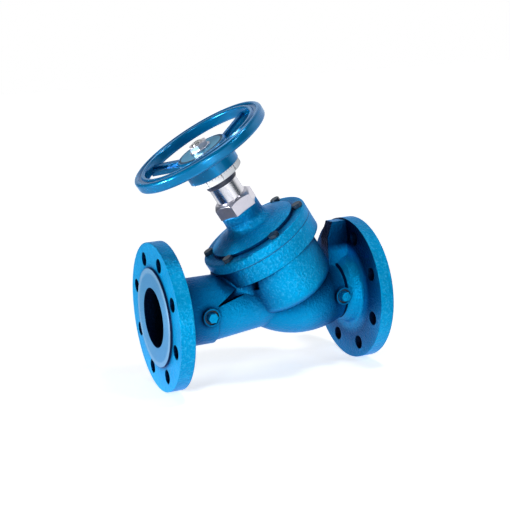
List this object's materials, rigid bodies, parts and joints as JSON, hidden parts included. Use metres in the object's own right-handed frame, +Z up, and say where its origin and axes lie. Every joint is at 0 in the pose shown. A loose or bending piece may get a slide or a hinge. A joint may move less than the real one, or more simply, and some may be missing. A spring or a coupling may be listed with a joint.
{
  "type": "double regulating valve",
  "caption": "Flanged balancing valve with an inclined bonnet, a graduated handwheel that lifts the plug, and a memory stop inside the stem.",
  "frame": {"origin": "centre of the outlet flange's raised face, on the pipe axis", "axes": "+X along the pipe from the outlet flange to the inlet flange, +Z up away from the pipe on the handwheel's side, +Y to the far side; the stem leans back over the outlet at 60 degrees to the pipe"},
  "size_m": [0.3155, 0.2, 0.3724],
  "materials": {
    "blue_paint": "glossy paint over a sand-cast skin",
    "wheel_paint": "gloss",
    "cover_paint": "gloss",
    "machined_steel": "turned",
    "sleeve_chrome": "polished",
    "black_steel": "black oxide",
    "plated_steel": "zinc plated",
    "stem_steel": "ground",
    "brass": "turned",
    "gasket_fibre": "matt",
    "graphite": "matt",
    "seal_rubber": "matt",
    "plug_iron": "machined",
    "seat_bronze": "turned",
    "white_plastic": "satin",
    "dark_plastic": "satin"
  },
  "bodies": {
    "valve_body": {"body_casting": "blue_paint", "seat_ring": "seat_bronze", "bonnet_gasket": "gasket_fibre", "bonnet": "blue_paint", "bonnet_bolts": "black_steel", "stem_bush": "brass", "packing_rings": "graphite", "gland_nut": "machined_steel", "indicator_sleeve": "sleeve_chrome", "tapping_plugs": "blue_paint", "tapping_seals": "seal_rubber"},
    "plug": {"plug_disc": "plug_iron", "plug_seal": "seal_rubber", "throttle_cone": "seat_bronze", "cone_screw": "plated_steel", "thrust_washer": "brass", "plug_nut": "brass"},
    "stem_and_wheel": {"stem": "stem_steel", "handwheel": "wheel_paint", "wheel_key": "plated_steel", "hub_cover": "cover_paint", "wheel_washer": "plated_steel", "wheel_nut": "plated_steel", "dial_ring": "white_plastic", "ring_screws": "plated_steel", "wiper_ring": "dark_plastic", "spindle_clip": "stem_steel"},
    "stop_spindle_body": {"stop_spindle": "stem_steel"},
    "stop_collar_body": {"stop_collar": "stem_steel", "stop_bar": "stem_steel"}
  },
  "joints": [
    {"name": "plug_lift", "type": "slide", "parent": "valve_body", "child": "plug", "axis": [-0.5, 0, 0.866], "range_m": [-0.02, 0.008]},
    {"name": "handwheel_turn", "type": "hinge", "parent": "plug", "child": "stem_and_wheel", "pos_m": [0.2075, 0, 0], "axis": [-0.5, 0, 0.866], "range_deg": [-1800, 720]},
    {"name": "stop_turn", "type": "hinge", "parent": "stem_and_wheel", "child": "stop_spindle_body", "pos_m": [0.2075, 0, 0], "axis": [-0.5, 0, 0.866], "range_deg": [-2880, 0]},
    {"name": "stop_slide", "type": "slide", "parent": "stem_and_wheel", "child": "stop_collar_body", "axis": [-0.5, 0, 0.866], "range_m": [0, 0.008]}
  ],
  "couplings": [
    {"joint": "plug_lift", "follows": "handwheel_turn", "m_per_rad": 0.00063662},
    {"joint": "stop_turn", "follows": "stop_slide", "rad_per_m": -6283.2}
  ]
}
